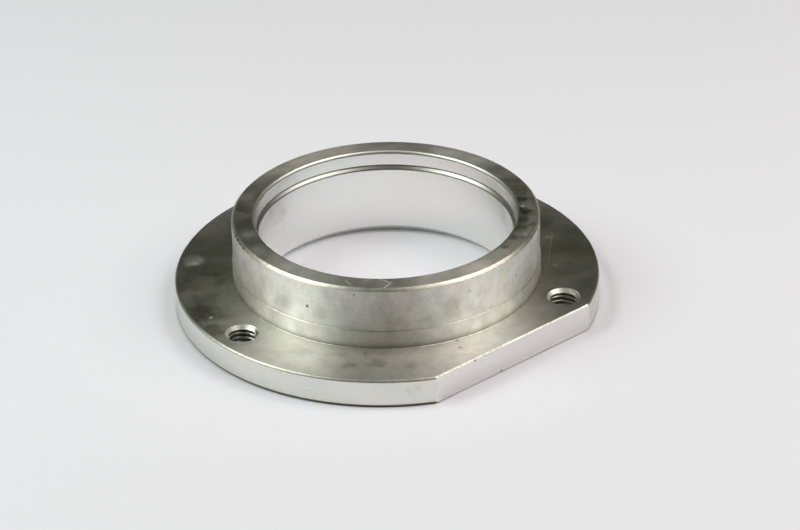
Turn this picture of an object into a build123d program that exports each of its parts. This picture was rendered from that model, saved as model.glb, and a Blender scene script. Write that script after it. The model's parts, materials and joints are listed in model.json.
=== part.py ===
"""Turned flange ring: a round flange with one milled flat, a raised collar and a stepped bore.

Millimetres. +Z runs along the bore axis from the flange's back face, at Z = 0, to the collar's mouth.
The milled flat faces -Y. Everything is one piece, turned from bar and then milled, drilled and tapped.
"""
import os

from build123d import *

os.makedirs("parts", exist_ok=True)

# Bore, from the axis outwards
bore_diameter = 40.5
bore_lead_chamfer = 1.4  # at the back face
counterbore_step = 0.5  # radial, and its shoulder slopes at 45 degrees
counterbore_depth = 2.6  # from the mouth to where the shoulder begins
mouth_radius = 0.6  # rounding of the counterbore's mouth

# Collar
collar_wall = 3.75  # counterbore to the collar's outside
collar_height = 10.4  # above the flange's front face
collar_chamfer = 0.45
register_step = 0.15  # the register at the foot stands out from the collar by this much
register_height = 3.1
foot_radius = 0.15  # left by the tool's nose in the corner between register and flange

# Flange
flange_ledge = 9.35  # register to rim
flange_thickness = 4.7
rim_edge_radius = 0.45  # front edge
back_edge_break = 0.3  # back edge
flat_depth = 4.0  # milled in from the rim
flat_edge_break = 0.2

# Tapped holes, metric coarse
hole_count = 3
hole_inset = 4.5  # rim to hole centre
first_hole_angle = 180.0  # a quarter turn clockwise from the flat, seen from the collar
thread_diameter = 5.0
thread_pitch = 0.8
countersink_width = 0.15  # how far the countersink reaches past the thread all round
countersink_angle = 90.0

# Radii and heights that follow
bore_radius = bore_diameter / 2
counterbore_radius = bore_radius + counterbore_step
collar_radius = counterbore_radius + collar_wall
register_radius = collar_radius + register_step
flange_radius = register_radius + flange_ledge
flat_distance = flange_radius - flat_depth
hole_circle_radius = flange_radius - hole_inset
minor_radius = thread_diameter / 2 - 0.5413 * thread_pitch
countersink_radius = thread_diameter / 2 + countersink_width
overall_height = flange_thickness + collar_height
register_top = flange_thickness + register_height
shoulder_top = overall_height - counterbore_depth


def circles_at(height):
    """The circular edges at one height, the smallest first."""
    circles = flange_ring.edges().filter_by(GeomType.CIRCLE)
    return circles.filter_by_position(Axis.Z, height, height).sort_by(SortBy.RADIUS)


with BuildPart() as flange_ring:
    # Half section, turned about the bore axis
    with BuildSketch(Plane.XZ):
        with BuildLine():
            Polyline(
                (bore_radius, 0),
                (flange_radius, 0),
                (flange_radius, flange_thickness),
                (register_radius, flange_thickness),
                (register_radius, register_top - register_step),
                (collar_radius, register_top),
                (collar_radius, overall_height),
                (counterbore_radius, overall_height),
                (counterbore_radius, shoulder_top),
                (bore_radius, shoulder_top - counterbore_step),
                close=True,
            )
        make_face()
    revolve(axis=Axis.Z)

    # Edges broken on the lathe
    fillet(circles_at(overall_height)[0], radius=mouth_radius)
    chamfer(circles_at(overall_height)[-1], length=collar_chamfer)
    fillet(circles_at(flange_thickness)[-1], radius=rim_edge_radius)
    fillet(circles_at(flange_thickness)[0], radius=foot_radius)
    chamfer(circles_at(0)[0], length=bore_lead_chamfer)
    chamfer(circles_at(0)[-1], length=back_edge_break)

    # Flat milled across the rim, with its front edge broken
    split(bisect_by=Plane.XZ.offset(flat_distance), keep=Keep.BOTTOM)
    flat_face = flange_ring.faces().sort_by(Axis.Y)[0]
    chamfer(flat_face.edges().sort_by(Axis.Z)[-1], length=flat_edge_break)

    # Tapping holes through the flange, at the thread's minor diameter, countersunk from the front
    with Locations((0, 0, flange_thickness)):
        with PolarLocations(hole_circle_radius, hole_count, start_angle=first_hole_angle):
            CounterSinkHole(
                radius=minor_radius,
                counter_sink_radius=countersink_radius,
                counter_sink_angle=countersink_angle,
            )

flange_ring.part.label = "flange_ring"
export_step(flange_ring.part, "parts/flange_ring.step")
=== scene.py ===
"""Turned steel flange ring on a pale floor, under two soft side lamps and a weak one overhead.

Metres, with +Z along the bore and the back face on the floor. The sizes in the constants and in the
lists below are in millimetres, and MM turns them into metres where the shapes are made.
"""
import json
import math

import bpy
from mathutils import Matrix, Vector


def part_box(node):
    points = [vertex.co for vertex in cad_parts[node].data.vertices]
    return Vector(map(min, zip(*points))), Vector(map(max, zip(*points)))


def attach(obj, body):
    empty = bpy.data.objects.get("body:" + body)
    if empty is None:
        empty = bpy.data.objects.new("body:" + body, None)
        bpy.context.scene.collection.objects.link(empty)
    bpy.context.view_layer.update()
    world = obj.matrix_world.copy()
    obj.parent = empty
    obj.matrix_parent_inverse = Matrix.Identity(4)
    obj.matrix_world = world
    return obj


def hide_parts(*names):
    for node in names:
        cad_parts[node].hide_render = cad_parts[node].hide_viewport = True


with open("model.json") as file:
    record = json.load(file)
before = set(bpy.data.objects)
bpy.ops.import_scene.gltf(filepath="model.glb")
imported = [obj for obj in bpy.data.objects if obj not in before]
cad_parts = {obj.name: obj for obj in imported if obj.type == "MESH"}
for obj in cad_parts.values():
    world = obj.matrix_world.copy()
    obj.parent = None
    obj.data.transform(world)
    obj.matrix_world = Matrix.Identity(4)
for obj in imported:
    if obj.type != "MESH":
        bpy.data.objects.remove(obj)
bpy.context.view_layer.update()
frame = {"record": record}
mounts = {mount["name"]: mount for mount in frame["record"]["mounts"]}
lowest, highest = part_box("flange_ring")

MM = 0.001
STEPS = 256  # divisions round the ring

# Distances in metres. A point within ON_IT of a plane or a circle lies on it, and a face thinner than
# that has no area. Points within SAME_POINT are one, and so are points within SEAM beside a cut.
ON_IT = 2e-6
SAME_POINT = 1e-6
SEAM = 4e-6

# Radii, from the bore outwards, and how far the milled flat is from the axis
BORE = mounts["bore"]["dims"]["r_mm"]
COUNTERBORE = mounts["counterbore"]["dims"]["r_mm"]
COLLAR = mounts["collar"]["dims"]["r_mm"]
REGISTER_STEP = 0.15
REGISTER = COLLAR + REGISTER_STEP
RIM = round(highest.x / MM, 2)
FLAT = round(-lowest.y / MM, 2)

# Heights above the floor
REGISTER_HEIGHT = 3.1
COUNTERBORE_DEPTH = 2.6
FRONT = round(mounts["front_face"]["pos_m"][2] / MM, 2)
REGISTER_TOP = FRONT + REGISTER_HEIGHT
MOUTH = round(highest.z / MM, 2)
SHOULDER = MOUTH - COUNTERBORE_DEPTH
SHOULDER_DROP = COUNTERBORE - BORE  # the shoulder slopes down to the bore at 45 degrees

# Broken and rounded edges
MOUTH_ROUND = 0.6
COLLAR_CHAMFER = 0.45
RIM_ROUND = 0.45
FLAT_CHAMFER = 0.2
FOOT_ROUND = 0.15
BORE_CHAMFER = 1.4
BACK_CHAMFER = 0.3
SHOULDER_BLEND = 0.15
FLAT_BACK_EDGE = 0.08
HANDLED_EDGE = 0.03

# Tapped holes: the thread's two radii, its pitch, and the countersink's radius at the front face
HOLE_CIRCLE = mounts["screw_holes"]["dims"]["pcd_mm"] / 2
HOLE_COUNT = mounts["screw_holes"]["dims"]["count"]
HOLE_ANGLES = [180 + 360 * i / HOLE_COUNT for i in range(HOLE_COUNT)]
MINOR = mounts["screw_holes"]["dims"]["hole_r_mm"]
MAJOR = 2.5
PITCH = 0.8
COUNTERSINK_LIP = 0.15
COUNTERSINK = MAJOR + COUNTERSINK_LIP

# Within one pitch: where the groove's lower side starts, and where its floor starts and ends
GROOVE_START = 0.2
GROOVE_FLOOR_START = 0.45
GROOVE_FLOOR_END = 0.55

# The tap: its turns, how many of them are below the floor, and its divisions round one turn
TAP_TURNS = 9
TAP_TURNS_BELOW = 2
TAP_STEPS = 48

# The camera, in metres, degrees and millimetres of film, and level directions in its view
CAMERA_PLACE = (-0.26319, -0.31460, 0.24025)
CAMERA_TURN = (60.191, 1.101, -40.841)
FOCAL_LENGTH = 132.73
SENSOR_WIDTH = 36
RIGHT = Vector((0.7638, -0.6454, 0))
TOWARD_CAMERA = Vector((-0.6454, -0.7638, 0))

# The room: lamp distance and the floor's side in metres, and linear colours
LAMP_DISTANCE = 0.5
FLOOR_SIDE = 6.0
PALE_PAPER = (0.785, 0.80, 0.857, 1)
ROOM = (0.037, 0.041, 0.028)
BEHIND_CAMERA = (0.007, 0.007, 0.006)


def beside_axis(angle, radius):
    """X and Y of the point that far from the bore axis, angle degrees round it from +X."""
    a = math.radians(angle)
    return radius * math.cos(a), radius * math.sin(a)


def on_face(height, spots):
    """Spots given as angle, radius, size and strength, placed on a face at that height."""
    return [(*beside_axis(angle, radius), height, size, strength) for angle, radius, size, strength in spots]


def on_wall(radius, spots):
    """Spots given as angle, height, size and strength, placed on a round wall of that radius."""
    return [(*beside_axis(angle, radius), height, size, strength) for angle, height, size, strength in spots]


# What handling and storage left on the surfaces. Haze is a dull dried film, dirt is dark and rubs are bright.
# The broad dark spots on the flange's left side are partly painted shade.
# Angles are in degrees round the bore axis from +X, lengths in millimetres, strengths from 0 to 1.
FLANGE_HAZE = [
    (150, 30, 3.5, 0.4),
    (163, 27, 3.2, 0.4),
    (152, 26, 3.0, 0.3),
    (171, 31, 2.0, 0.3),
    (-22, 28, 2.5, 0.35),
    (-38, 28, 2.2, 0.3),
    (-54, 26, 1.6, 0.3),
    (-66, 25, 1.8, 0.35),
    (-88, 27, 2.0, 0.3),
    (-117, 27, 1.6, 0.3),
    (-129, 26, 1.6, 0.4),
    (-134, 29, 2.2, 0.5),
    (-149, 27, 1.5, 0.35),
    (-160, 28, 1.6, 0.3),
]
# The spots from 141 to 173 degrees darken the flange's left side: an oily film there, and painted shade that
# deepens its reflection of the dark room. The others are dirt.
FLANGE_DIRT_AND_SHADE = [
    (164, 32, 4.5, 0.55),
    (156, 30, 3.0, 0.4),
    (148, 32, 3.5, 0.4),
    (173, 33, 3.0, 0.55),
    (143, 27, 3.0, 0.3),
    (141, 28, 1.4, 0.4),
    (-117, 28, 1.8, 0.3),
    (-124, 30, 1.6, 0.35),
    (-131, 26, 1.5, 0.35),
    (-134, 29, 2.2, 0.45),
    (-142, 30, 1.6, 0.4),
    (-146, 27, 1.4, 0.3),
    (-157, 28, 1.4, 0.3),
    (-105, 25, 0.4, 0.7),
    (-106, 27, 0.4, 0.5),
    (-138, 26, 0.5, 0.4),
]
FLANGE_RUBS = [
    (133, 31.5, 1.5, 0.4),
    (134, 31, 0.7, 0.7),
    (167, 31, 0.35, 0.6),
    (-21, 28, 0.4, 0.25),
    (-40, 27, 0.4, 0.25),
    (-109, 28, 0.4, 0.25),
]
COLLAR_TOP_HAZE = [
    (-10, 22.5, 2.2, 0.3),
    (-26, 22.5, 2.2, 0.35),
    (-38, 23.3, 1.8, 0.75),
    (-48, 23.3, 1.8, 0.8),
    (-58, 23.3, 1.8, 0.8),
    (-68, 23.0, 1.8, 0.7),
    (-78, 23.0, 1.8, 0.5),
    (-88, 23.5, 1.6, 0.4),
    (25, 22.0, 1.3, 0.3),
    (88, 22.4, 1.2, 0.3),
    (124, 23.5, 1.6, 0.4),
    (140, 23.0, 1.6, 0.4),
    (156, 22.5, 1.6, 0.4),
    (170, 23.0, 1.4, 0.4),
    (187, 23.5, 1.4, 0.35),
    (209, 23.5, 1.4, 0.3),
    (229, 23.5, 1.4, 0.35),
    (245, 23.5, 1.2, 0.3),
]
COLLAR_TOP_DIRT = [
    (-4, 22.6, 2.4, 0.4),
    (-14, 22.6, 2.2, 0.45),
    (-24, 22.4, 2.0, 0.5),
    (-32, 21.9, 1.6, 0.65),
    (-41, 21.8, 1.5, 0.65),
    (-49, 21.8, 1.4, 0.65),
    (-57, 21.8, 1.4, 0.6),
    (-65, 21.9, 1.3, 0.55),
    (-73, 22.0, 1.2, 0.5),
    (137, 22.6, 1.2, 0.4),
    (120, 24.0, 1.0, 0.4),
    (148, 22.3, 1.0, 0.2),
    (161, 22.5, 1.0, 0.35),
    (176, 23.2, 1.0, 0.3),
    (203, 23.0, 0.8, 0.3),
    (230, 22.8, 1.4, 0.3),
]
COLLAR_TOP_RUBS = [
    (-38, 22.0, 0.3, 0.7),
    (-61, 23.2, 0.3, 0.3),
    (-76, 23.3, 0.3, 0.25),
]
FACE_HAZE = on_face(FRONT, FLANGE_HAZE) + on_face(MOUTH, COLLAR_TOP_HAZE)
FACE_DIRT_AND_SHADE = on_face(FRONT, FLANGE_DIRT_AND_SHADE) + on_face(MOUTH, COLLAR_TOP_DIRT)
FACE_RUBS = on_face(FRONT, FLANGE_RUBS) + on_face(MOUTH, COLLAR_TOP_RUBS)
COLLAR_HAZE = on_wall(
    COLLAR,
    [
        (204, 10, 1.2, 0.3),
        (255, 10.5, 1.8, 0.35),
        (249, 9.6, 1.6, 0.25),
        (232, 10, 1.6, 0.3),
        (190, 10.3, 1.7, 0.25),
        (171, 8.6, 2.0, 0.35),
        (232, 6.8, 1.8, 0.3),
        (197, 7.4, 1.4, 0.2),
        (-76, 8.6, 1.6, 0.35),
        (-64, 9.5, 1.6, 0.35),
        (159, 9, 1.8, 0.3),
        (150, 11.5, 3.0, 0.5),
        (151, 7, 2.5, 0.4),
        (-50, 12, 3.0, 0.5),
        (-52, 7.5, 2.5, 0.4),
    ],
)
COLLAR_DIRT = on_wall(
    COLLAR,
    [
        (200, 10.7, 0.3, 0.8),
        (198, 13.7, 0.3, 0.35),
        (218, 14, 0.25, 0.5),
        (227, 12, 0.25, 0.4),
        (261, 12.5, 0.2, 0.7),
        (256, 10.2, 0.35, 0.5),
        (275, 7.5, 0.2, 0.8),
        (254, 4.9, 0.3, 0.9),
        (-75, 11, 0.35, 0.5),
    ],
)
COLLAR_RUBS = on_wall(COLLAR, [(-82, 12.2, 0.8, 0.5), (-77, 10.6, 0.7, 0.5), (154, 10.4, 0.8, 0.4)])
RIM_HAZE = on_wall(RIM, [(235, 2.5, 0.8, 0.2), (237, 3.2, 0.7, 0.2)])
BORE_HAZE = on_wall(BORE, [(107, 9.5, 1.8, 0.2), (118, 11, 1.5, 0.2), (-20, 10.5, 1.2, 0.2)])
EDGE_DIRT = on_wall(
    COLLAR,
    [
        (155, 14.7, 0.4, 0.8),
        (158, 14.7, 0.4, 0.9),
        (161, 14.7, 0.4, 0.9),
        (164, 14.7, 0.4, 0.8),
    ],
)
# The flat's spots are already x, y, z, size and strength.
FLAT_DIRT = [
    (-8.1, -FLAT, 4.5, 0.3, 0.9),
    (-5.9, -FLAT, 4.4, 0.15, 0.9),
    (-2.7, -FLAT, 0.3, 0.25, 0.9),
    (-16.0, -FLAT, 3.6, 0.7, 0.3),
]
# The two ends of each scratch, its width and its strength.
FACE_SCRATCHES = [
    ((-14.5, -15.6, MOUTH), (-14.1, -17.5, MOUTH), 0.07, 1.0),
    ((-14.0, -17.6, MOUTH), (-15.8, -18.1, MOUTH), 0.06, 0.9),
    ((-18.6, -12.2, MOUTH), (-19.0, -14.3, MOUTH), 0.05, 0.5),
    ((-17.3, -14.7, MOUTH), (-15.2, -14.5, MOUTH), 0.05, 0.5),
    ((9.3, -22.0, MOUTH), (13.7, -19.1, MOUTH), 0.05, 0.5),
    ((27.7, -9.2, FRONT), (20.4, -16.0, FRONT), 0.06, 0.4),
    ((-27.9, -12.2, FRONT), (-24.5, -14.1, FRONT), 0.06, 0.4),
]
COLLAR_SCRATCHES = [
    ((-16.5, -18.1, 8.3), (-16.5, -18.1, 6.9), 0.06, 0.9),
    ((2.4, -24.4, 13.4), (6.2, -23.7, 10.2), 0.08, 0.5),
]

# Where edges have been chipped: the middle of the chipping corner, and its size.
CHIPS = [
    (-24.15, -0.2, MOUTH + 0.22, 0.5),
    (-8.1, -FLAT - 0.05, FRONT + 0.16, 0.6),
    (-5.9, -FLAT - 0.05, FRONT + 0.2, 0.4),
    (-11.6, -FLAT - 0.05, FRONT + 0.2, 0.4),
    (-2.7, -FLAT - 0.2, 0.15, 0.4),
]

# Linear colours of the steel, clean and as each finish leaves it, of what lies on it, and of painted shade.
# WARMER is what a colour is multiplied by where the steel has yellowed.
CLEAN_STEEL = (0.77, 0.785, 0.735)
WARMER = (1.04, 0.975, 0.965)
BRIGHT_STEEL = (0.85, 0.855, 0.825)
EDGE_STEEL = (0.61, 0.635, 0.575)
WORN_STEEL = (0.60, 0.62, 0.53)
FLAT_STEEL = (0.81, 0.795, 0.765)
FLAT_EDGE_STEEL = (0.70, 0.71, 0.64)
THREAD_STEEL = (0.46, 0.47, 0.42)
SHOULDER_STEEL = (0.39, 0.40, 0.37)
# Near black: painted shade for the dark line under the back edges of the rim and the flat, and for the crease
# at the collar's foot.
PAINTED_SHADE_STEEL = (0.06, 0.058, 0.045)
DRIED_FILM = (0.38, 0.40, 0.29)
# The colour of dirt, and also of painted shade: the dark line at the rim's and the flat's feet, and the
# flange's darker left side.
DARK_DIRT_AND_SHADE = (0.14, 0.135, 0.09)
FRESH_SCRATCH = (0.80, 0.80, 0.74)

# How large the steel's uneven patches are, and how far apart the tool's ridges are
CLOUD_SIZE = 7.0
TINT_SIZE = 4.5
SMUDGE_SIZE = 2.4
FILM_SIZE = 1.6
DIRT_SIZE = 0.9
SPECK_SIZE = 0.5
RIDGE_SPACING = 0.35
FINE_RIDGE_SPACING = 0.09

# Darkening low on a wall: the height it starts at, the height where it is full, and its strength there. At
# the rim's and the flat's feet it is painted shade, the dark line where they meet the floor; the collar's
# wall is just made darker towards its foot.
AT_COLLAR_FOOT = (FRONT + 1.3, FRONT, 0.5)
AT_RIM_FOOT = (0.55, 0.42, 0.95)
AT_FLAT_FOOT = (0.22, 0.08, 0.6)

# A face is level if its normal's Z goes beyond this, up or down
LEVEL = 0.98


def deselect_everything():
    """Object mode, with no object selected."""
    if bpy.context.mode != "OBJECT":
        bpy.ops.object.mode_set(mode="OBJECT")
    bpy.ops.object.select_all(action="DESELECT")


def pick(obj):
    """Only obj is selected, and it is the active one."""
    deselect_everything()
    obj.select_set(True)
    bpy.context.view_layer.objects.active = obj


def edit(action="SELECT", by="VERT"):
    """Edit mode on the active object, with everything selected, or nothing for DESELECT."""
    bpy.ops.object.mode_set(mode="EDIT")
    bpy.ops.mesh.select_mode(type=by)
    bpy.ops.mesh.select_all(action=action)


def select_edges(obj, wanted):
    """In edit mode, only the edges whose two ends both answer wanted(point) are selected."""
    bpy.ops.mesh.select_mode(type="EDGE")
    bpy.ops.mesh.select_all(action="DESELECT")
    bpy.ops.object.mode_set(mode="OBJECT")
    points = obj.data.vertices
    for edge in obj.data.edges:
        edge.select = all(wanted(points[i].co) for i in edge.vertices)
    bpy.ops.object.mode_set(mode="EDIT")


def on_circle(radius, height):
    """A test for points on the circle of that radius and height, in millimetres."""
    return lambda p: abs(p.xy.length - radius * MM) < ON_IT and abs(p.z - height * MM) < ON_IT


def turned_blank():
    """The section of the ring turned about Z, with the edges that the lathe broke or left rounded."""
    section = [
        (BORE, 0),
        (RIM, 0),
        (RIM, FRONT),
        (REGISTER, FRONT),
        (REGISTER, REGISTER_TOP - REGISTER + COLLAR),
        (COLLAR, REGISTER_TOP),
        (COLLAR, MOUTH),
        (COUNTERBORE, MOUTH),
        (COUNTERBORE, SHOULDER),
        (BORE, SHOULDER - SHOULDER_DROP),
    ]
    deselect_everything()
    radius, height = section[0]
    bpy.ops.mesh.primitive_circle_add(vertices=STEPS, radius=radius * MM, fill_type="NOTHING")
    ring = bpy.context.active_object
    ring.name = "turned_ring"
    ring.data.name = "turned_ring"
    edit(by="EDGE")
    for wider, higher in section[1:]:
        rise = (0, 0, (higher - height) * MM)
        bpy.ops.mesh.extrude_edges_move(TRANSFORM_OT_translate={"value": rise})
        grow = wider / radius
        bpy.ops.transform.resize(value=(grow, grow, 1), center_override=(0, 0, higher * MM))
        radius, height = wider, higher
    bpy.ops.mesh.select_all(action="DESELECT")
    bpy.ops.mesh.select_non_manifold()
    bpy.ops.mesh.bridge_edge_loops()
    bpy.ops.mesh.select_all(action="SELECT")
    bpy.ops.mesh.normals_make_consistent(inside=False)

    broken_edges = [
        (COUNTERBORE, MOUTH, MOUTH_ROUND, 8),
        (COUNTERBORE, SHOULDER, SHOULDER_BLEND, 4),
        (BORE, SHOULDER - SHOULDER_DROP, SHOULDER_BLEND, 4),
        (COLLAR, MOUTH, COLLAR_CHAMFER, 1),
        (RIM, FRONT, RIM_ROUND, 6),
        (REGISTER, FRONT, FOOT_ROUND, 4),
        (BORE, 0, BORE_CHAMFER, 1),
        (RIM, 0, BACK_CHAMFER, 1),
    ]
    for radius, height, width, segments in broken_edges:
        select_edges(ring, on_circle(radius, height))
        bpy.ops.mesh.bevel(offset=width * MM, segments=segments, profile=0.5)
    return ring


def mill_flat(ring):
    """One side of the flange cut away flat, square to -Y, with its back edge broken."""
    bpy.ops.mesh.select_all(action="SELECT")
    bpy.ops.mesh.bisect(
        plane_co=(0, -FLAT * MM, 0),
        plane_no=(0, -1, 0),
        threshold=SAME_POINT,
        use_fill=True,
        clear_outer=True,
    )
    select_edges(ring, lambda p: abs(p.y + FLAT * MM) < ON_IT and abs(p.z) < ON_IT)
    bpy.ops.mesh.bevel(offset=FLAT_BACK_EDGE * MM, segments=1)
    bpy.ops.object.mode_set(mode="OBJECT")


def soften_edges(ring):
    """Every sharp edge gets the slight rounding that handling leaves."""
    pick(ring)
    edit("DESELECT", by="EDGE")
    bpy.ops.mesh.edges_select_sharp(sharpness=math.radians(25))
    bpy.ops.mesh.bevel(offset=HANDLED_EDGE * MM, segments=2, profile=0.5)
    bpy.ops.object.mode_set(mode="OBJECT")


def edge_cutter():
    """A long square bar turned 45 degrees, whose lower side planes an edge that runs along X."""
    deselect_everything()
    side = 2.0
    bpy.ops.mesh.primitive_cube_add(size=side * MM)
    bar = bpy.context.active_object
    bar.name = "edge_cutter"
    edit()
    bpy.ops.transform.resize(value=(RIM / side, 1, 1), center_override=(0, 0, 0))
    bpy.ops.transform.rotate(value=math.radians(45), orient_axis="X", center_override=(0, 0, 0))
    out = side / 2 * math.sqrt(0.5) * MM
    bpy.ops.transform.translate(value=(0, -out, out))
    bpy.ops.object.mode_set(mode="OBJECT")
    return bar


def break_flat_edge(ring):
    """The flat's front edge planed off at 45 degrees."""
    cutter = edge_cutter()
    cut(ring, cutter, (0, -FLAT + FLAT_CHAMFER / 2, FRONT - FLAT_CHAMFER / 2))
    bpy.data.objects.remove(cutter)


def thread_tap():
    """A right-hand screw of the thread's form, standing on Z and longer than the flange is thick."""
    deselect_everything()
    bpy.ops.mesh.primitive_plane_add(size=MM)
    tap = bpy.context.active_object
    tap.name = "tap"
    outline = [
        (MINOR, 0.0),
        (MINOR, GROOVE_START),
        (MAJOR, GROOVE_FLOOR_START),
        (MAJOR, GROOVE_FLOOR_END),
        (MINOR, PITCH),
    ]
    edit()
    bpy.ops.mesh.merge(type="CENTER")
    bpy.ops.transform.translate(value=(MINOR * MM, 0, 0))
    for (radius, height), (wider, higher) in zip(outline, outline[1:]):
        step = ((wider - radius) * MM, 0, (higher - height) * MM)
        bpy.ops.mesh.extrude_vertices_move(TRANSFORM_OT_translate={"value": step})
    bpy.ops.object.mode_set(mode="OBJECT")
    turns = tap.modifiers.new("turns", "SCREW")
    turns.axis = "Z"
    turns.angle = 2 * math.pi
    turns.screw_offset = PITCH * MM
    turns.iterations = TAP_TURNS
    turns.steps = TAP_STEPS
    turns.render_steps = TAP_STEPS
    turns.use_merge_vertices = True
    turns.merge_threshold = SAME_POINT
    bpy.ops.object.modifier_apply(modifier="turns")
    edit()
    bpy.ops.mesh.remove_doubles(threshold=SAME_POINT)
    bpy.ops.mesh.select_all(action="DESELECT")
    bpy.ops.mesh.select_non_manifold()
    bpy.ops.mesh.fill_holes(sides=0)
    bpy.ops.mesh.select_all(action="SELECT")
    bpy.ops.mesh.normals_make_consistent(inside=False)
    bpy.ops.transform.translate(value=(0, 0, -TAP_TURNS_BELOW * PITCH * MM))
    bpy.ops.object.mode_set(mode="OBJECT")
    return tap


def countersink_bit():
    """A 90 degree cone, wide end up, that opens a hole to the countersink's width at the front face."""
    deselect_everything()
    tip = 0.2
    above = 1.5
    wide = COUNTERSINK + above - tip
    depth = wide - tip
    bpy.ops.mesh.primitive_cone_add(vertices=64, radius1=tip * MM, radius2=wide * MM, depth=depth * MM)
    bit = bpy.context.active_object
    bit.name = "countersink_bit"
    edit()
    middle = FRONT - COUNTERSINK + tip + depth / 2
    bpy.ops.transform.translate(value=(0, 0, middle * MM))
    bpy.ops.object.mode_set(mode="OBJECT")
    return bit


def cut(ring, tool, place, scale=1.0):
    """A copy of the tool, scaled and then moved to place in millimetres, is taken out of the ring."""
    pick(tool)
    bpy.ops.object.duplicate()
    copy = bpy.context.active_object
    edit()
    bpy.ops.transform.resize(value=(scale, scale, scale), center_override=(0, 0, 0))
    bpy.ops.transform.translate(value=tuple(length * MM for length in place))
    bpy.ops.object.mode_set(mode="OBJECT")
    pick(ring)
    taken = ring.modifiers.new("taken_out", "BOOLEAN")
    taken.operation = "DIFFERENCE"
    taken.solver = "EXACT"
    taken.object = copy
    bpy.ops.object.modifier_apply(modifier="taken_out")
    bpy.data.objects.remove(copy)


def drill_and_tap(ring):
    """The tapped holes, countersunk from the front."""
    tap = thread_tap()
    bit = countersink_bit()
    for angle in HOLE_ANGLES:
        place = (*beside_axis(angle, HOLE_CIRCLE), 0)
        cut(ring, tap, place)
        cut(ring, bit, place)
    bpy.data.objects.remove(tap)
    bpy.data.objects.remove(bit)


def chip_edges(ring):
    """Small dents where a corner of something harder has struck an edge."""
    deselect_everything()
    bpy.ops.mesh.primitive_cube_add(size=MM)
    corner = bpy.context.active_object
    corner.name = "chipping_corner"
    edit()
    bpy.ops.transform.rotate(value=math.radians(45), orient_axis="X", center_override=(0, 0, 0))
    bpy.ops.transform.rotate(value=math.radians(35), orient_axis="Y", center_override=(0, 0, 0))
    bpy.ops.object.mode_set(mode="OBJECT")
    for x, y, z, size in CHIPS:
        cut(ring, corner, (x, y, z), size)
    bpy.data.objects.remove(corner)


def close_seams(ring):
    """Points that the cuts left on top of each other become one, and every face is turned outward.

    Faces with no area go too. The highest face is the collar's top, so it must point up. If it
    doesn't, all faces are turned over.
    """
    pick(ring)
    edit()
    bpy.ops.mesh.remove_doubles(threshold=SEAM)
    bpy.ops.mesh.dissolve_degenerate(threshold=ON_IT)
    bpy.ops.mesh.normals_make_consistent(inside=False)
    bpy.ops.object.mode_set(mode="OBJECT")
    top = max(ring.data.polygons, key=lambda face: face.center.z)
    if top.normal.z < 0:
        edit()
        bpy.ops.mesh.flip_normals()
        bpy.ops.object.mode_set(mode="OBJECT")


def straighten_edges(ring):
    """A point that only splits an edge in two, nearly in line, goes, as it can fold the faces beside it."""
    pick(ring)
    edit("DESELECT")
    bpy.ops.object.mode_set(mode="OBJECT")
    points = ring.data.vertices
    beside = [[] for point in points]
    for edge in ring.data.edges:
        first, second = edge.vertices
        beside[first].append(second)
        beside[second].append(first)
    for point, ends in zip(points, beside):
        if len(ends) == 2:
            before, after = (points[i].co - point.co for i in ends)
            point.select = before.angle(-after) < math.radians(10)
    bpy.ops.object.mode_set(mode="EDIT")
    bpy.ops.mesh.dissolve_verts()
    bpy.ops.object.mode_set(mode="OBJECT")


def smooth(ring):
    """Round walls shade smoothly, and flat faces stay flat up to their broken edges."""
    pick(ring)
    bpy.ops.object.shade_smooth_by_angle(angle=math.radians(30))
    even = ring.modifiers.new("even_faces", "WEIGHTED_NORMAL")
    even.mode = "FACE_AREA"
    even.keep_sharp = True
    bpy.ops.object.modifier_apply(modifier="even_faces")


def put(tree, kind, inputs=None, **settings):
    """A new node: each named input gets a plain value, or a link from another node's output."""
    made = tree.nodes.new("ShaderNode" + kind)
    for setting, value in settings.items():
        setattr(made, setting, value)
    for name, value in (inputs or {}).items():
        socket = made.inputs[name]
        if isinstance(value, bpy.types.NodeSocket):
            tree.links.new(value, socket)
        else:
            socket.default_value = (*value, 1) if socket.type == "RGBA" else value
    return made


def maths(tree, operation, *values):
    made = put(tree, "Math", dict(enumerate(values)), operation=operation)
    return made.outputs[0]


def vector_maths(tree, operation, *values):
    made = put(tree, "VectorMath", dict(enumerate(values)), operation=operation)
    return made.outputs["Value" if operation in ("LENGTH", "DISTANCE", "DOT_PRODUCT") else "Vector"]


def scaled(tree, vector, share):
    return put(tree, "VectorMath", {0: vector, "Scale": share}, operation="SCALE").outputs["Vector"]


def ease(tree, value, start, end, low=0.0, high=1.0):
    """Goes smoothly from low, where value is start, to high, where it is end."""
    limits = {"Value": value, "From Min": start, "From Max": end, "To Min": low, "To Max": high}
    return put(tree, "MapRange", limits, interpolation_type="SMOOTHSTEP").outputs["Result"]


def blend(tree, share, first, second):
    """The first colour going over to the second as share rises."""
    return put(tree, "Mix", {"Factor": share, 6: first, 7: second}, data_type="RGBA").outputs[2]


def strongest(tree, covers):
    """The highest of the covers, from place to place."""
    most = covers[0]
    for cover in covers[1:]:
        most = maths(tree, "MAXIMUM", most, cover)
    return most


def mottle(tree, place, size, detail=3.0, rough=0.55):
    """A cloudy pattern between 0 and 1 whose patches are about size millimetres across."""
    cloud = {"Vector": place, "Scale": 1 / size, "Detail": detail, "Roughness": rough}
    return put(tree, "TexNoise", cloud).outputs["Fac"]


def tool_marks(tree, across, spacing):
    """The ridges a tool leaves side by side, spacing millimetres apart, between 0 and 1."""
    ridges = {"W": across, "Scale": 1 / spacing, "Detail": 2.0, "Roughness": 0.7}
    return put(tree, "TexNoise", ridges, noise_dimensions="1D").outputs["Fac"]


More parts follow.
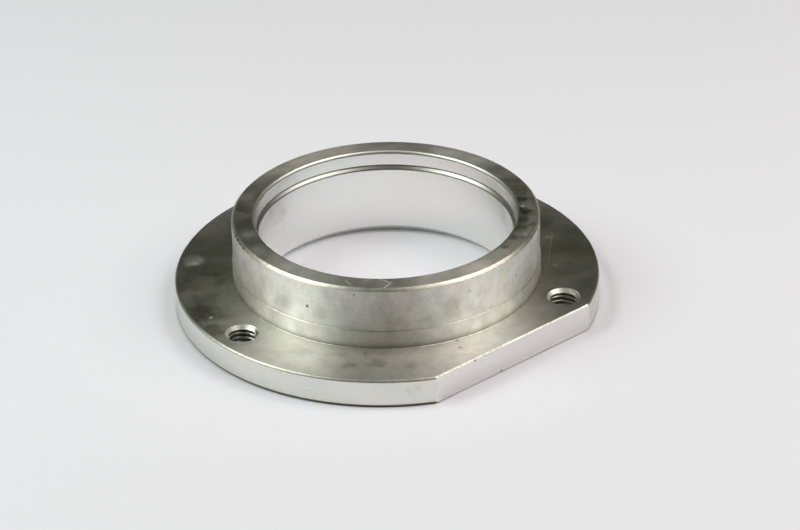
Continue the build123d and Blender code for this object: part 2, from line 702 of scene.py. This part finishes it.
def patches(tree, place, spots):
    """How strongly the listed spots cover a place. A spot is x, y, z, radius and strength, fading outwards.

    Their outlines wander, in waves about 2.6 millimetres long, and by less for the smallest spots.
    """
    wave, most_pull = 2.6, 1.6
    wander = put(tree, "TexNoise", {"Vector": place, "Scale": 1 / wave, "Detail": 3.0}).outputs["Color"]
    wander = vector_maths(tree, "SUBTRACT", wander, (0.5, 0.5, 0.5))
    wander = scaled(tree, wander, wave)
    covers = []
    for x, y, z, radius, strength in spots:
        pull = scaled(tree, wander, min(radius, most_pull))
        pulled = vector_maths(tree, "ADD", place, pull)
        away = vector_maths(tree, "DISTANCE", pulled, (x, y, z))
        covers.append(ease(tree, away, 1.5 * radius, 0.2 * radius, 0.0, strength))
    return strongest(tree, covers)


def film(tree, place, cover):
    """A dried film, thicker and thinner from place to place."""
    thickness = mottle(tree, place, FILM_SIZE, 6.0, 0.7)
    return maths(tree, "MULTIPLY", cover, ease(tree, thickness, 0.3, 0.68, 0.35, 1.0))


def broken_up(tree, place, cover):
    """A cover broken into ragged islands."""
    islands = mottle(tree, place, DIRT_SIZE, 7.0, 0.8)
    torn = maths(tree, "MULTIPLY_ADD", islands, 0.9, maths(tree, "SUBTRACT", cover, 0.45))
    return maths(tree, "MULTIPLY", ease(tree, torn, 0.0, 0.9), ease(tree, cover, 0.0, 0.5))


def scratches(tree, place, lines):
    """The listed straight scratches. A scratch is its two ends, its width and its strength."""
    covers = []
    for start, end, width, strength in lines:
        run = Vector(end) - Vector(start)
        from_start = vector_maths(tree, "SUBTRACT", place, start)
        along = vector_maths(tree, "DOT_PRODUCT", from_start, run / run.length_squared)
        along = put(tree, "Clamp", {"Value": along}).outputs[0]
        away = vector_maths(tree, "DISTANCE", from_start, scaled(tree, run, along))
        covers.append(ease(tree, away, width, 0.25 * width, 0.0, strength))
    return strongest(tree, covers)


def wear_and_painted_shade(tree, wear, place, drawn_out, height, clouds):
    """How strongly haze, dirt, and rubs and scratches cover the steel, as wear lists them. The dark mask also
    holds painted shade: the broad spots on the flange's left side, and a wall darker towards its foot, which
    is painted shade at the rim's and the flat's feet.
    """
    haze = ease(tree, clouds, 0.45, 0.75, 0.0, wear.get("stain", 0.3))
    if "haze" in wear:
        haze = maths(tree, "ADD", haze, patches(tree, place, wear["haze"]))
    haze = film(tree, drawn_out, haze)
    dirt = 0.0
    if "dirt" in wear:
        dirt = broken_up(tree, place, patches(tree, place, wear["dirt"]))
    # A wall darker towards its foot, added to the dark mask: painted shade at the rim's and the flat's feet.
    if "settled" in wear:
        top, bottom, strength = wear["settled"]
        dirt = maths(tree, "MAXIMUM", dirt, ease(tree, height, top, bottom, 0.0, strength))
    bright = 0.0
    if "rubs" in wear:
        bright = patches(tree, place, wear["rubs"])
    if "scratches" in wear:
        bright = maths(tree, "MAXIMUM", bright, scratches(tree, place, wear["scratches"]))
    return haze, dirt, bright


def bare_steel(name, roughness, marks, across="radius", clean=CLEAN_STEEL, **wear):
    """Bare steel whose tool marks run round the bore axis, so it spreads light across them.

    marks is how strongly it does so, and across says what changes from one tool mark to the next:
    "radius" on a face, "height" on a wall. wear gives the lists haze, dirt, rubs and scratches, and
    stain, tint, relief, upright and nicked, from 0 to 1: how stained it is all over, how much its colour
    shifts, how deep its marks are, how far its stains are drawn out along the axis, how chipped it is.
    settled darkens a wall towards its foot, as painted shade at the rim's and the flat's feet: the height it
    starts at, where it is full, its strength.
    """
    stain = wear.get("stain", 0.3)
    relief = wear.get("relief", 1.0)
    steel = bpy.data.materials.new(name)
    steel.use_nodes = True
    tree = steel.node_tree
    shader = tree.nodes["Principled BSDF"]
    shader.inputs["Anisotropic"].default_value = marks

    position = put(tree, "TexCoord").outputs["Object"]
    place = scaled(tree, position, 1 / MM)
    height = put(tree, "SeparateXYZ", {0: place}).outputs["Z"]
    sideways = vector_maths(tree, "MULTIPLY", place, (1, 1, 0))
    over_marks = vector_maths(tree, "LENGTH", sideways) if across == "radius" else height
    drawn_out = vector_maths(tree, "MULTIPLY", place, (1, 1, 1 - 0.8 * wear.get("upright", 0.0)))

    surface = put(tree, "NewGeometry").outputs["Normal"]
    round_the_axis = vector_maths(tree, "CROSS_PRODUCT", (0, 0, 1), position)
    across_marks = vector_maths(tree, "CROSS_PRODUCT", surface, round_the_axis)
    tree.links.new(across_marks, shader.inputs["Tangent"])

    elsewhere = vector_maths(tree, "ADD", drawn_out, (40, 0, 0))
    clouds = mottle(tree, drawn_out, CLOUD_SIZE, 4.0, 0.6)
    tints = mottle(tree, elsewhere, TINT_SIZE, 4.0, 0.65)
    smudges = mottle(tree, place, SMUDGE_SIZE, 5.0, 0.7)
    specks = mottle(tree, place, SPECK_SIZE, 3.0, 0.6)
    ridges = tool_marks(tree, over_marks, RIDGE_SPACING)
    fine_ridges = tool_marks(tree, over_marks, FINE_RIDGE_SPACING)
    haze, dirt, bright = wear_and_painted_shade(tree, wear, place, drawn_out, height, clouds)

    warm = vector_maths(tree, "MULTIPLY", clean, WARMER)
    metal = blend(tree, ease(tree, tints, 0.35, 0.65, 0.0, wear.get("tint", 1.0)), clean, warm)
    nicks = ease(tree, specks, 0.42, 0.62, 1.0, 1 - 0.45 * wear.get("nicked", 0.0))
    tone = maths(tree, "MULTIPLY_ADD", ridges, 0.16 * relief, 1 - 0.08 * relief)
    tone = maths(tree, "MULTIPLY", tone, nicks)
    tone = maths(tree, "MULTIPLY", tone, ease(tree, smudges, 0.35, 0.7, 1 + 0.2 * stain, 1 - 0.4 * stain))
    tone = put(tree, "CombineXYZ", {0: tone, 1: tone, 2: tone}).outputs[0]
    colour = vector_maths(tree, "MULTIPLY", metal, tone)
    colour = blend(tree, haze, colour, DRIED_FILM)
    # Dirt darkens the colour, and so does painted shade: low on the rim and the flat, and on the flange's
    # left side.
    colour = blend(tree, dirt, colour, DARK_DIRT_AND_SHADE)
    colour = blend(tree, bright, colour, FRESH_SCRATCH)
    tree.links.new(colour, shader.inputs["Base Color"])

    shine = maths(tree, "MULTIPLY_ADD", haze, -0.22, 1.0)
    shine = maths(tree, "MULTIPLY_ADD", bright, -0.3, shine)
    tree.links.new(shine, shader.inputs["Metallic"])

    rough = maths(tree, "MULTIPLY_ADD", clouds, 0.16 * relief, roughness - 0.12 * relief)
    for cover, rougher in ((ridges, 0.08 * relief), (haze, 0.14), (dirt, 0.05), (bright, 0.3)):
        rough = maths(tree, "MULTIPLY_ADD", cover, rougher, rough)
    tree.links.new(rough, shader.inputs["Roughness"])

    rise = maths(tree, "MULTIPLY", ridges, 0.0022)
    for cover, depth in ((fine_ridges, 0.0010), (clouds, 0.03), (specks, 0.0015), (bright, -0.02)):
        rise = maths(tree, "MULTIPLY_ADD", cover, depth, rise)
    bump = put(tree, "Bump", {"Height": rise, "Distance": MM, "Strength": relief})
    tree.links.new(bump.outputs["Normal"], shader.inputs["Normal"])
    return steel


def in_a_hole(middle, normal):
    """The finish of a face that a tap or a countersink cut, or None for any other face."""
    margin = 0.05
    for angle in HOLE_ANGLES:
        from_axis = (middle.xy - Vector(beside_axis(angle, HOLE_CIRCLE))).length
        if from_axis < COUNTERSINK + margin and abs(normal.z) < LEVEL:
            off_cone = abs(from_axis - COUNTERSINK + FRONT - middle.z)
            return "countersink" if off_cone < 0.03 else "thread"
    return None


def inside_the_bore(middle, normal):
    """The finish of a face inside the bore, the counterbore or the mouth's rounding."""
    if abs(normal.z) > LEVEL:
        return "turned_face"
    if middle.z < BORE_CHAMFER and normal.z < -0.2:
        return "lead_chamfer"
    if middle.z < SHOULDER - 1.0 or normal.z < 0.12:
        return "bored_wall"
    return "mouth" if middle.z > MOUTH - 1.0 else "shoulder"


def region(face):
    """Which finish a face of the ring has, from where it is and which way it points."""
    middle, normal = face.center / MM, face.normal
    radius = middle.xy.length
    hole = in_a_hole(middle, normal)
    if hole:
        return hole
    if radius < COUNTERBORE + MOUTH_ROUND:
        return inside_the_bore(middle, normal)
    # The back edges' chamfers and the upper part of the foot's rounding are painted near black as shade: the
    # dark line where the ring meets the floor, and the crease at the collar's foot.
    on_back_edge = middle.z < BACK_CHAMFER and -LEVEL < normal.z < -0.1
    by_the_foot = radius < REGISTER + FOOT_ROUND and middle.z < FRONT + FOOT_ROUND
    if on_back_edge or (by_the_foot and 0.02 < normal.z < 0.4):
        return "painted_shade_edge"
    if 0.15 < abs(normal.z) < 0.96:
        return "flat_edge" if middle.y < -FLAT + 0.25 and normal.y < -0.5 else "worn_edge"
    if normal.y < -0.9 and middle.y < -FLAT + 0.1:
        return "milled_flat"
    if abs(normal.z) < 0.5:
        return "turned_rim" if radius > REGISTER + 1 else "turned_collar"
    return "turned_face"


def turned_faces():
    """The two finishes that the lathe left over whole faces and round the collar."""
    face = bare_steel(
        "turned_face",
        0.41,
        0.71,
        haze=FACE_HAZE,
        dirt=FACE_DIRT_AND_SHADE,
        rubs=FACE_RUBS,
        scratches=FACE_SCRATCHES,
    )
    collar = bare_steel(
        "turned_collar",
        0.52,
        0.85,
        "height",
        haze=COLLAR_HAZE,
        dirt=COLLAR_DIRT,
        rubs=COLLAR_RUBS,
        scratches=COLLAR_SCRATCHES,
        settled=AT_COLLAR_FOOT,
        upright=1.0,
    )
    return [face, collar]


def turned_walls():
    """The rim and the bore, which are brighter and cleaner than the faces."""
    # The rim is painted darker towards its foot as shade: the dark line where it meets the floor.
    rim = bare_steel(
        "turned_rim", 0.25, 0.9, "height", haze=RIM_HAZE, settled=AT_RIM_FOOT, stain=0.0, tint=0.5
    )
    bore = bare_steel(
        "bored_wall", 0.234, 0.1, "height", BRIGHT_STEEL, haze=BORE_HAZE, stain=0.0, tint=0.2, upright=0.7
    )
    return [rim, bore]


def clean_edges():
    """The chamfers, roundings and small faces that are turned and little touched."""
    finishes = [
        ("lead_chamfer", 0.6, BRIGHT_STEEL, 0.2, 0.4),
        ("mouth", 0.40, EDGE_STEEL, 0.3, 0.4),
        ("shoulder", 0.36, SHOULDER_STEEL, 0.3, 0.4),
        ("countersink", 0.48, EDGE_STEEL, 0.0, 0.2),
        ("thread", 0.30, THREAD_STEEL, 0.0, 0.1),
    ]
    return [
        bare_steel(name, roughness, 0.0, "height", clean, stain=0.0, tint=tint, relief=relief)
        for name, roughness, clean, tint, relief in finishes
    ]


def handled_and_shaded_edges():
    """The outer edges, which are nicked or rubbed, the back edges and the foot's crease painted near black as
    shade, and the milled flat.
    """
    worn = bare_steel(
        "worn_edge", 0.43, 0.5, "height", WORN_STEEL, dirt=EDGE_DIRT, stain=0.2, relief=0.6, nicked=0.4
    )
    flat_edge = bare_steel("flat_edge", 0.5, 0.0, "height", FLAT_EDGE_STEEL, relief=0.8, nicked=0.7)
    # Painted shade, near black, for the back edges and the foot's crease.
    shaded_edge = bare_steel("painted_shade_edge", 0.6, 0.0, "height", PAINTED_SHADE_STEEL, stain=0.0, relief=0.6, nicked=0.3)
    # The flat is painted darker towards its foot as shade: the dark line where it meets the floor.
    flat = bare_steel(
        "milled_flat",
        0.255,
        0.0,
        "height",
        FLAT_STEEL,
        dirt=FLAT_DIRT,
        settled=AT_FLAT_FOOT,
        stain=0.0,
        tint=0.3,
    )
    return [worn, flat_edge, shaded_edge, flat]


def finish(ring):
    """Every face of the ring gets the finish of its region."""
    finishes = turned_faces() + turned_walls() + clean_edges() + handled_and_shaded_edges()
    ring.data.materials.clear()
    for steel in finishes:
        ring.data.materials.append(steel)
    names = [steel.name for steel in finishes]
    for face in ring.data.polygons:
        face.material_index = names.index(region(face))


def pale_floor():
    """A wide pale floor that carries the ring."""
    deselect_everything()
    bpy.ops.mesh.primitive_plane_add(size=FLOOR_SIDE, location=(0, 0, 0))
    floor = bpy.context.active_object
    floor.name = "floor"
    paper = bpy.data.materials.new("pale_paper")
    paper.use_nodes = True
    shader = paper.node_tree.nodes["Principled BSDF"]
    shader.inputs["Base Color"].default_value = PALE_PAPER
    shader.inputs["Roughness"].default_value = 0.9
    floor.data.materials.append(paper)


def soft_light(name, side, elevation, size, watts, colour):
    """A square lamp turned to the ring, side degrees round from the camera's side, left of it if negative."""
    lamp = bpy.data.lights.new(name, "AREA")
    lamp.shape = "SQUARE"
    lamp.size = size
    lamp.energy = watts
    lamp.color = colour
    around = math.radians(side)
    above = math.radians(elevation)
    level = RIGHT * math.sin(around) + TOWARD_CAMERA * math.cos(around)
    direction = level * math.cos(above) + Vector((0, 0, 1)) * math.sin(above)
    holder = bpy.data.objects.new(name, lamp)
    holder.location = direction * LAMP_DISTANCE
    holder.rotation_euler = (-direction).to_track_quat("-Z", "Y").to_euler()
    bpy.context.scene.collection.objects.link(holder)


def dim_room():
    """The unlit room round the table, darkest behind the camera."""
    world = bpy.data.worlds.new("room")
    bpy.context.scene.world = world
    world.use_nodes = True
    tree = world.node_tree
    direction = put(tree, "TexCoord").outputs["Generated"]
    facing = vector_maths(tree, "DOT_PRODUCT", direction, TOWARD_CAMERA)
    walls = blend(tree, ease(tree, facing, -0.2, 0.9), ROOM, BEHIND_CAMERA)
    tree.links.new(walls, tree.nodes["Background"].inputs["Color"])


def light_the_stage():
    """Each lamp has its side and elevation in degrees, its size in metres, its watts and its colour."""
    soft_light("left_light", -83, 47.3, 0.31, 1.66, (0.975, 1.0, 0.945))
    soft_light("right_light", 82.6, 53.8, 0.38, 1.93, (1.0, 0.93, 0.89))
    soft_light("high_light", 0, 89, 0.2, 0.09, (1.0, 1.0, 1.0))
    dim_room()


def camera():
    """A long lens that looks down on the ring from in front of the milled flat's left end."""
    lens = bpy.data.cameras.new("camera")
    lens.sensor_width = SENSOR_WIDTH
    lens.lens = FOCAL_LENGTH
    lens.clip_start = 0.01
    holder = bpy.data.objects.new("camera", lens)
    holder.location = CAMERA_PLACE
    holder.rotation_euler = tuple(math.radians(angle) for angle in CAMERA_TURN)
    bpy.context.scene.collection.objects.link(holder)
    bpy.context.scene.camera = holder


ring = turned_blank()
mill_flat(ring)
soften_edges(ring)
break_flat_edge(ring)
drill_and_tap(ring)
chip_edges(ring)
close_seams(ring)
straighten_edges(ring)
smooth(ring)
finish(ring)
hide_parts("flange_ring")
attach(ring, "root")

pale_floor()
light_the_stage()
camera()
bpy.context.scene.view_settings.view_transform = "Standard"
